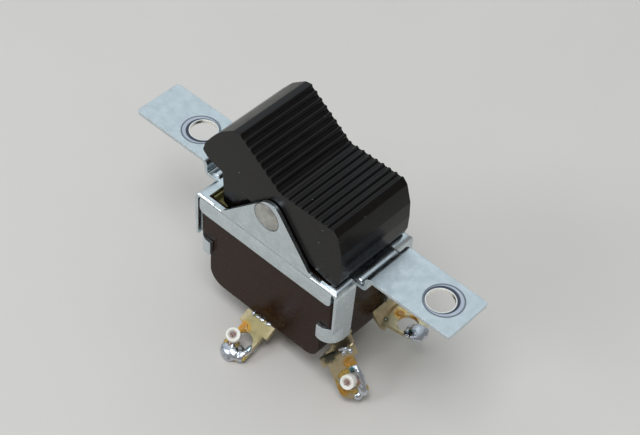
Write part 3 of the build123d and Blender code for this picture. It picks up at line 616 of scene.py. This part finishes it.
@dataclass
class RibbedSaddle:
    """Rounded ribs across both halves of the rocker's top."""

    pivot: Triple = PIVOT
    tilt_degrees: float = 17.5  # of the whole saddle at rest
    slope_degrees: float = 18.5     # of each half from the valley
    valley: float = 6.2         # above the pivot, mm
    pitch: float = 1.266
    count: int = 8              # on each half, with one more in the valley
    last_in: float = 0.12       # the outermost rib lies nearer to its neighbour
    last_sunk: float = 0.12     # and lower, where the top rounds off
    depth: float = 0.3
    half_width: float = 0.39
    crest: float = 0.02         # above the saddle's line
    sides: int = 20
    end_softening: float = 0.12
    end_gap: float = 0.02       # by which the ribs are shorter than the rocker is wide

    def build(self, plastic: bpy.types.Material) -> None:
        """Lay the ribs.

        Args:
            plastic: Finish of the rocker.
        """
        low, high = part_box("rocker")
        length = (high.y - low.y) * PER_MM - self.end_gap
        slope = math.radians(self.slope_degrees)
        shape = bmesh.new()
        for side in (-1, 1):
            for index in range(0 if side < 0 else 1, self.count + 1):
                run = index * self.pitch - (self.last_in if index == self.count else 0.0)
                sunk = self.depth + (self.last_sunk if index == self.count else 0.0)
                place = (Matrix.Translation((side * run * math.cos(slope), 0.0,
                                             self.valley + run * math.sin(slope)))
                         @ Matrix.Rotation(-side * slope if index else 0.0, 4, "Y")
                         @ Matrix.Translation((0.0, 0.0, -sunk))
                         @ Matrix.Diagonal((self.half_width, 1.0, self.depth + self.crest, 1.0)))
                rounded_bar(shape, place, length, self.sides, self.end_softening, steps=2)
        bmesh.ops.recalc_face_normals(shape, faces=shape.faces)
        tilt = Matrix.Rotation(math.radians(self.tilt_degrees), 4, "Y")
        place = Matrix.Scale(MM, 4) @ Matrix.Translation(self.pivot) @ tilt
        bmesh.ops.transform(shape, matrix=place, verts=shape.verts)
        mesh = bpy.data.meshes.new("rocker_ribs")
        shape.to_mesh(mesh)
        shape.free()
        finished(mesh.name, mesh, plastic, BodyName.ROCKER)


@dataclass
class EndCreases:
    """Low rounded creases across the frame's ends, under the rocker's two ends."""

    reach: float = 14.6         # from the middle of the switch, mm
    height: float = -2.43       # of the sheet they rise from
    half_width: float = 0.85
    rise: float = 0.5
    length: float = 8.2
    sides: int = 32
    softening: float = 0.3

    def build(self, steel: bpy.types.Material) -> None:
        """Lay one crease at each end.

        Args:
            steel: Finish of the bracket.
        """
        shape = bmesh.new()
        for side in (-1, 1):
            place = (Matrix.Translation((BODY_SHIFT + side * self.reach, 0.0, self.height))
                     @ Matrix.Diagonal((self.half_width, 1.0, self.rise, 1.0)))
            rounded_bar(shape, place, self.length, self.sides, self.softening, steps=3)
        bmesh.ops.recalc_face_normals(shape, faces=shape.faces)
        bmesh.ops.transform(shape, matrix=Matrix.Scale(MM, 4), verts=shape.verts)
        mesh = bpy.data.meshes.new("end_creases")
        shape.to_mesh(mesh)
        shape.free()
        finished(mesh.name, mesh, steel)


@dataclass
class SolderJoint:
    """Old solder on a lug, with the beads of flux round it."""

    name: str
    place: LugPlace
    blobs: tuple[Blob, ...]
    flux: tuple[Blob, ...]
    splashes: tuple[Blob, ...] = ()
    solder_grid: float = 0.12   # voxels that the solder is melted with, mm
    flux_grid: float = 0.07
    splash_grid: float = 0.06
    ripple: float = 0.03        # of the frozen solder, mm

    def build(self, solder: bpy.types.Material, resin: bpy.types.Material) -> None:
        """Melt the solder and set its flux beads.

        Args:
            solder: Finish of the solder.
            resin: Finish of the flux.
        """
        metal = melted("joint_" + self.name, self.place, self.blobs, self.solder_grid,
                       self.ripple)
        piece = finished(metal.name, metal, solder)
        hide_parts("solder_" + self.name)
        beads = melted("flux_" + self.name, self.place, self.flux, self.flux_grid)
        finished(beads.name, beads, resin)
        if self.splashes:
            drops = melted("splash_" + self.name, self.place, self.splashes, self.splash_grid)
            finished(drops.name, drops, solder)


@dataclass
class WireStub:
    """Cut end of a stranded wire: bare strands that run from their sleeve into the solder."""

    name: str
    place: LugPlace
    foot: Triple
    end: Triple
    solder: Triple
    strands: int = 7            # six round one
    strand_radius: float = 0.17
    strand_sides: int = 10
    ring_radius: float = 0.36
    sleeve_radius: float = 1.175
    sleeve_wall: float = 0.56
    sleeve_softening: float = 0.14
    sleeve_sides: int = 48
    cut_short: float = 0.06     # of the strands inside the sleeve's end, mm
    cut_uneven: float = 0.09
    dip: float = 0.12           # of the strands where they leave the sleeve
    sag: float = 0.15           # half way to the solder
    gathered: float = 0.9       # share of the ring's radius where they leave the sleeve
    soaked: float = 0.8         # and where they end in the solder
    core_depth: float = 0.25    # of the strands' cut ends below the rim

    def sleeve(self, plastic: bpy.types.Material) -> None:
        """Make the cut piece of sleeve with its softened rims and its hollow end.

        Args:
            plastic: Finish of the sleeve.
        """
        foot, end = Vector(self.foot), Vector(self.end)
        way = (end - foot).normalized()
        shape = bmesh.new()
        tube(shape, [foot, end], self.sleeve_radius, self.sleeve_sides)
        bmesh.ops.recalc_face_normals(shape, faces=shape.faces)
        caps = [face for face in shape.faces if len(face.verts) > 4]
        rims = list({edge for face in caps for edge in face.edges})
        bmesh.ops.bevel(shape, geom=rims, offset=self.sleeve_softening, segments=3,
                        profile=0.5, affect="EDGES", material=-1)
        top = max((face for face in shape.faces if len(face.verts) > 4),
                  key=lambda face: face.calc_center_median().dot(way))
        bmesh.ops.inset_individual(shape, faces=[top],
                                   thickness=self.sleeve_wall - self.sleeve_softening)
        grown = bmesh.ops.extrude_face_region(shape, geom=[top])["geom"]
        floor = [item for item in grown if isinstance(item, bmesh.types.BMVert)]
        bmesh.ops.delete(shape, geom=[top], context="FACES")
        bmesh.ops.translate(shape, verts=floor, vec=-way * self.core_depth)
        bmesh.ops.recalc_face_normals(shape, faces=shape.faces)
        bmesh.ops.transform(shape, matrix=self.place.matrix(), verts=shape.verts)
        mesh = bpy.data.meshes.new("sleeve_" + self.name)
        shape.to_mesh(mesh)
        shape.free()
        piece = finished(mesh.name, mesh, plastic)
        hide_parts("wire_insulation_" + self.name)

    def build(self, plastic: bpy.types.Material, strand: bpy.types.Material) -> None:
        """Make the sleeve and the bundle of strands.

        Args:
            plastic: Finish of the sleeve.
            strand: Finish of the strands.
        """
        self.sleeve(plastic)
        foot, end, tip = Vector(self.foot), Vector(self.end), Vector(self.solder)
        way = (end - foot).normalized()
        side = way.orthogonal().normalized()
        shape = bmesh.new()
        ring = self.strands - 1
        for index in range(self.strands):
            offset = Vector() if index == ring else (
                Matrix.Rotation(index * math.tau / ring, 3, way) @ side) * self.ring_radius
            # Each strand reads the noise at its own place, so it is cut at its own length.
            short = self.cut_short + self.cut_uneven * noise.noise(
                Vector((index * 1.7, 0.3, 0.9)))
            knee = foot + offset * self.gathered - way * self.dip
            last = tip + offset * self.soaked
            path = [end + offset - way * short, foot + offset, knee,
                    knee.lerp(last, 0.5) - way * self.sag, last]
            tube(shape, path, self.strand_radius, self.strand_sides)
        bmesh.ops.recalc_face_normals(shape, faces=shape.faces)
        bmesh.ops.transform(shape, matrix=self.place.matrix(), verts=shape.verts)
        mesh = bpy.data.meshes.new("strands_" + self.name)
        shape.to_mesh(mesh)
        shape.free()
        piece = finished(mesh.name, mesh, strand)
        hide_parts("wire_strands_" + self.name)


@dataclass
class Studio:
    """Pale floor, soft light and the photograph's camera."""

    position: Triple = (102.396, -122.891, 173.065)     # of the camera, mm
    right: Triple = (0.73200561, 0.67933569, 0.05167986)
    up: Triple = (-0.52749503, 0.51711489, 0.67404836)
    lens: float = 89.45
    sensor: float = 36.0
    floor_colour: str = "#d6d2cb"
    floor_half: float = 1.2     # half its side, m
    floor_gap: float = 0.05     # from the part's lowest point down to it, mm
    sky_way: Triple = (-0.46, 0.36, 0.81)   # towards the brightest part of the surroundings
    sky: tuple[tuple[float, str], ...] = ((0.0, "#8f8b86"), (0.5, "#85888a"), (0.92, "#dfe8ee"))
    sky_strength: float = 1.05

    def camera(self) -> None:
        """Place the camera at the photograph's viewpoint."""
        data = bpy.data.cameras.new("camera")
        data.lens = self.lens
        data.sensor_fit = "HORIZONTAL"
        data.sensor_width = self.sensor
        data.clip_start, data.clip_end = 0.01, 20.0
        holder = bpy.data.objects.new("camera", data)
        bpy.context.scene.collection.objects.link(holder)
        right, up = Vector(self.right), Vector(self.up)
        turn = Matrix((right, up, right.cross(up))).transposed().to_4x4()
        holder.matrix_world = Matrix.Translation(Vector(self.position) * MM) @ turn
        bpy.context.scene.camera = holder

    def floor(self, level: float) -> None:
        """Lay the floor.

        Args:
            level: Height of the floor, in metres.
        """
        shape = bmesh.new()
        bmesh.ops.create_grid(shape, x_segments=2, y_segments=2, size=self.floor_half)
        bmesh.ops.translate(shape, verts=shape.verts, vec=(0, 0, level))
        mesh = bpy.data.meshes.new("floor")
        shape.to_mesh(mesh)
        shape.free()
        plane = bpy.data.objects.new("floor", mesh)
        bpy.context.scene.collection.objects.link(plane)
        # Matt painted board: even and pale, so that only the part's shadow shows on it.
        mesh.materials.append(Finish("painted_board", self.floor_colour, "#d0ccc4", 0.85,
                                     drift_mm=40.0, drift=0.4, relief=0.02).material())
        plane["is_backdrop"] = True

    def lamp(self, name: str, place: Triple, size: float, power: float, tint: str) -> None:
        """Hang one soft lamp that faces the part.

        Args:
            name: Name of the lamp.
            place: Its position, in metres.
            size: Side of its square face, in metres.
            power: Its power, in watts.
            tint: Its colour.
        """
        data = bpy.data.lights.new(name, "AREA")
        data.shape = "SQUARE"
        data.size = size
        data.energy = power
        data.color = linear(tint)[:3]
        holder = bpy.data.objects.new(name, data)
        bpy.context.scene.collection.objects.link(holder)
        holder.location = place
        holder.rotation_mode = "QUATERNION"
        holder.rotation_quaternion = (-Vector(place)).to_track_quat("-Z", "Y")

    def world(self) -> None:
        """Make the surroundings bright on one side, as a room with a window is."""
        world = bpy.data.worlds.new("room")
        bpy.context.scene.world = world
        world.use_nodes = True
        tree = world.node_tree
        tree.nodes.clear()
        way = add_node(tree, "ShaderNodeTexCoord")
        towards = add_node(tree, "ShaderNodeVectorMath", {
            0: way.outputs["Generated"], 1: self.sky_way}, operation="DOT_PRODUCT")
        sky = add_node(tree, "ShaderNodeValToRGB", {"Fac": towards.outputs["Value"]},
                       stops=self.sky)
        shade = add_node(tree, "ShaderNodeBackground", {
            "Color": sky.outputs["Color"], "Strength": self.sky_strength})
        add_node(tree, "ShaderNodeOutputWorld", {"Surface": shade.outputs["Background"]})

    def build(self, lowest: float) -> None:
        """Set up the whole studio.

        Args:
            lowest: Height of the part's lowest point, in metres.
        """
        self.camera()
        self.floor(lowest - self.floor_gap * MM)
        self.lamp("overhead", place=(0.1, -0.25, 0.8), size=0.4, power=3.2, tint="#f6f8ff")
        self.lamp("side_fill", place=(-0.38, -0.66, 0.46), size=0.3, power=1.8, tint="#f4f8ff")
        self.world()
        bpy.context.scene.view_settings.view_transform = "Standard"


@dataclass
class Dressing:
    """The finishes of the part, and what wears each of them."""

    def finishes(self) -> dict[str, Finish]:
        """Give the finish of every material slot.

        Returns:
            A finish for each slot of the record.
        """
        # amber and olive are the metal's own colours; the last two tones are painted shadow on the
        # end lug's root and neck
        amber, olive, dark, neck_shadow = "#cf961f", "#59603c", "#3a3f3a", "#2b2620"
        return {
            # Zinc-plated mild steel: bluish grey and cloudy, with the marks of split washers and a
            # ring of painted shade round the rivet head.
            "zinc_steel": ScrewMarked("zinc_plated_steel", "#d2dbdf", "#b4bfc3", 0.3, 1.0,
                                      drift_mm=1.6, drift=0.55, uneven=0.1, grain_mm=0.4,
                                      relief=0.2, edge_mm=0.08),
            # Nickel-plated rivet steel: duller and warmer than the sheet.
            "rivet_steel": Finish("nickel_plated_steel", "#bfbfba", "#9d9b94", 0.32, 1.0,
                                  drift_mm=1.0, relief=0.2),
            # Music wire: bright, drawn.
            "spring_steel": Finish("music_wire", "#9a9ca0", "#7d7f84", 0.25, 1.0,
                                   drift_mm=0.6),
            # Moulded black phenolic, polished by fingers: satin gloss, a grain, some dust.
            "rocker_plastic": Dusty("black_phenolic", "#0c0a09", "#15110f", 0.24, ior=1.46,
                                    drift_mm=2.5, uneven=0.07, grain_mm=0.3, relief=0.08,
                                    edge_mm=0.08, mirror=0.25),
            # Moulded brown phenolic: dark, glossy, with mottled filler.
            "base_plastic": Dusty("brown_phenolic", "#241005", "#30190b", 0.24, ior=1.48,
                                  mirror=0.15, drift_mm=1.6, uneven=0.08, grain_mm=0.4,
                                  relief=0.1, apart_mm=4.5, edge_mm=0.15),
            # Vulcanised fibre: matt olive board with faint streaks.
            "fibre": Finish("vulcanised_fibre", "#868250", "#5d5d38", 0.7, drift_mm=0.9,
                            relief=0.3),
            # Tinned brass strip: cream, dulled, stained by flux near the joints and olive at the
            # roots of the middle and back lugs; on the end lug, painted shadow where the tab's
            # finger shades its root and neck.
            "tinned_brass": StainsAndPaintedLight("tinned_brass", "#d6c8a4", "#a39776", 0.38, 1.0,
                                    drift_mm=0.9, uneven=0.12, grain_mm=0.25, relief=0.3,
                                    stains_and_painted_light=(
                                        (MIDDLE.point((1.8, 0.2, 0.35)), 4.2, "#a89c70"),
                                        (MIDDLE.point((2.8, -1.4, 0.35)), 1.6, amber),
                                        (MIDDLE.point((6.4, -2.4, 0.3)), 0.9, amber),
                                        (MIDDLE.point((0.1, -1.5, 0.3)), 0.7, olive),
                                        # Painted shadow on the end lug's neck, under the tab's
                                        # finger.
                                        (END.point((-1.1, 0.9, 0.5)), 2.5, neck_shadow),
                                        # Painted shadow on the end lug's root, under the tab's
                                        # finger.
                                        (END.point((-0.1, -1.4, 0.3)), 1.9, dark),
                                        (END.point((2.3, 1.15, 0.35)), 1.4, amber),
                                        (END.point((5.8, -1.6, 0.35)), 1.4, amber),
                                        (BACK.point((1.2, 0.9, 0.35)), 1.4, amber),
                                        (BACK.point((3.4, 1.9, 0.35)), 1.1, amber),
                                        (BACK.point((0.0, -1.4, 0.35)), 0.6, olive),
                                    )),
            # Rolled brass, never plated.
            "bar_brass": Finish("rolled_brass", "#c9a35a", "#a88543", 0.32, 1.0,
                                drift_mm=1.5),
            # Contact silver.
            "contact_silver": Finish("contact_silver", "#dcdcd8", "#b9b7b0", 0.24, 1.0,
                                     drift_mm=0.8),
            # Tin-lead solder, frozen bright with a frosted skin and a bluish film of flux; on the
            # back joint a painted teal reflection and a painted dark spot of shade for a pit.
            "solder": StainsAndPaintedLight("tin_lead_solder", "#d3d9e0", "#a3a8b4", 0.26, 1.0,
                              drift_mm=0.9, uneven=0.12, grain_mm=0.6, relief=0.25,
                              stains_and_painted_light=((END.point((3.4, 1.0, 0.4)), 0.75, "#477b80"),
                                      (MIDDLE.point((5.0, 1.6, 0.4)), 0.6, "#93aab2"),
                                      # painted reflection: teal highlight on the back joint's
                                      # solder
                                      (BACK.point((4.6, -1.3, 0.7)), 0.6, "#7fb3c4"),
                                      # painted shade: a black dot for a small pit in the back
                                      # joint's solder
                                      (BACK.point((5.9, -0.6, 1.0)), 0.14, "#14171c"),
                                      (END.point((-0.3, 0.7, 0.4)), 0.5, "#a99aa6"))),
            # Soft PVC sleeve, off-white, scorched a little near the joint.
            "wire_plastic": Finish("pvc_sleeve", "#f7f6ee", "#e6e4d2", 0.36, drift_mm=1.0,
                                   relief=0.12, coat=0.15),
            # Copper strands, half tinned.
            "strand_metal": Finish("tinned_copper", "#c79f92", "#b4b2b4", 0.3, 1.0,
                                   drift_mm=0.35, drift=0.9),
        }

    def build(self) -> dict[str, bpy.types.Material]:
        """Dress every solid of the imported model.

        Returns:
            The material of each slot.
        """
        made = {slot: finish.material() for slot, finish in self.finishes().items()}
        for subpart in frame["record"]["subparts"]:
            name = subpart["node"]
            mesh = frame["nodes"][name].data
            mesh.materials.clear()
            mesh.materials.append(made[subpart["material_slot"]])
            LOG.info("%s wears %s", name, subpart["material_slot"])
        return made


def main() -> None:
    """Dress the part, add its fine pieces and set up the studio."""
    logging.basicConfig(level=logging.INFO)
    materials = Dressing().build()
    # Rosin flux: clear amber resin with a wet gloss.
    resin = Finish("rosin_flux", "#f9dc7c", "#e6b54c", 0.06, ior=1.53, drift_mm=0.5,
                   clear=0.78, relief=0.05).material()
    parts = (
        SmoothedPart("mounting_bracket", "zinc_steel"), SmoothedPart("pivot_pin", "rivet_steel"),
        SmoothedPart("rocker", "rocker_plastic", BodyName.ROCKER, crisp_degrees=48.0,
                     rounding=0.7),
        SmoothedPart("base_housing", "base_plastic"),
        SmoothedPart("common_terminal_front", "tinned_brass"),
        SmoothedPart("common_terminal_back", "tinned_brass"),
        SmoothedPart("load_terminal_front", "tinned_brass"),
        SmoothedPart("load_terminal_back", "tinned_brass"),
        PlungerSpring("plunger_spring_front", "spring_steel", BodyName.ROCKER,
                      joint="plunger_front_slide", side=-1.0),
        PlungerSpring("plunger_spring_back", "spring_steel", BodyName.ROCKER,
                      joint="plunger_back_slide", side=1.0),
    )
    for part in parts:
        part.build(materials[part.slot])
    RibbedSaddle().build(materials["rocker_plastic"])
    EndCreases().build(materials["zinc_steel"])
    joints = (
        SolderJoint("middle", MIDDLE,
                    (((7.0, -0.7, 0.2), (1.25, 1.9, 0.85)), ((7.2, -1.7, 0.15), (0.9, 0.75, 0.6)),
                     ((5.2, 1.65, 0.1), (1.1, 0.55, 0.5)), ((6.5, 1.1, 0.0), (1.1, 1.0, 0.7)),
                     ((5.9, 0.2, 0.05), (0.75, 1.3, 0.4)), ((6.2, -0.75, 0.55), (0.9, 0.3, 0.5)),
                     ((7.9, -0.6, 0.2), (0.6, 1.2, 0.5)), ((6.7, 0.5, 0.55), (0.5, 0.35, 0.35))),
                    (((2.7, -1.45, 0.34), (0.72, 0.62, 0.13)), ((2.9, -0.9, 0.3), (0.5, 0.5, 0.1)),
                     ((6.2, -2.2, 0.35), (0.6, 0.4, 0.4)), ((4.5, -1.75, 0.35), (1.1, 0.3, 0.15)),
                     ((5.5, -0.5, 0.4), (0.5, 0.5, 0.35)), ((6.6, 2.0, 0.2), (0.5, 0.3, 0.3))),
                    (((0.1, 0.2, 0.36), (0.28, 0.5, 0.18)),
                     ((0.05, -1.6, 0.36), (0.3, 0.35, 0.24)),
                     ((0.35, -1.6, 0.36), (0.18, 0.18, 0.12)),
                     ((0.0, 1.6, 0.36), (0.28, 0.5, 0.18)),
                     ((0.15, -0.7, 0.36), (0.22, 0.4, 0.14)),
                     ((0.3, 1.05, 0.36), (0.12, 0.2, 0.1)))),
        SolderJoint("end", END,
                    (((4.9, 1.75, 0.3), (2.1, 0.6, 0.75)), ((6.7, 1.3, 0.25), (1.3, 0.8, 0.7)),
                     ((7.6, 0.3, 0.2), (0.65, 0.75, 0.55)), ((3.4, 1.2, 0.1), (0.75, 0.7, 0.4))),
                    (((2.25, 1.15, 0.36), (0.42, 0.95, 0.14)), ((2.7, 1.3, 0.3), (0.5, 0.6, 0.14)),
                     ((3.4, -0.6, 0.0), (0.75, 1.2, 0.1)), ((4.7, -1.78, 0.34), (1.1, 0.2, 0.13)),
                     ((5.9, -1.55, 0.34), (0.75, 0.22, 0.13)),
                     ((6.45, -0.9, 0.34), (0.3, 0.8, 0.13)), ((6.6, 0.1, 0.4), (0.45, 0.6, 0.3)),
                     ((6.9, 2.0, 0.1), (0.6, 0.28, 0.4)), ((5.6, 0.9, 0.75), (0.9, 0.16, 0.16))),
                    (((-0.3, 0.65, 0.38), (0.48, 0.5, 0.4)),
                     ((0.1, 1.35, 0.38), (0.45, 0.45, 0.42)),
                     ((0.7, 1.9, 0.34), (0.5, 0.4, 0.36)), ((0.6, 0.9, 0.36), (0.4, 0.4, 0.28)),
                     ((-0.4, -2.3, 0.36), (0.28, 0.1, 0.12)),
                     ((-0.5, -1.5, 0.36), (0.22, 0.1, 0.12)),
                     ((-0.45, -0.3, 0.36), (0.1, 0.25, 0.12)))),
        SolderJoint("back", BACK,
                    (((5.4, -0.6, 0.25), (1.4, 1.75, 0.9)), ((4.3, -1.5, 0.1), (0.9, 0.8, 0.55)),
                     ((6.0, -0.1, 0.1), (1.0, 1.3, 0.75)), ((4.3, -0.5, 0.05), (0.9, 1.2, 0.5)),
                     ((5.9, 0.3, 0.5), (0.5, 0.5, 0.45)), ((6.3, -1.2, 0.2), (0.6, 0.7, 0.5))),
                    (((1.25, 0.95, 0.34), (0.75, 0.6, 0.1)),
                     ((4.2, 1.85, 0.2), (1.7, 0.25, 0.22))),
                    (((0.0, -1.4, 0.36), (0.2, 0.25, 0.06)),
                     ((-0.3, -0.2, 0.36), (0.15, 0.2, 0.06)))),
    )
    for joint in joints:
        joint.build(materials["solder"], resin)
    wires = (WireStub("middle", MIDDLE, (4.8, -1.5, 0.85), (4.77, -1.07, 2.4), (6.5, -0.8, 0.75)),
             WireStub("end", END, (4.85, 0.1, 0.75), (4.68, -0.42, 1.9), (5.6, 1.4, 0.7)))
    for wire in wires:
        wire.build(materials["wire_plastic"], materials["strand_metal"])
    Studio().build(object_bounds()[0].z)


if __name__ == "__main__":
    main()
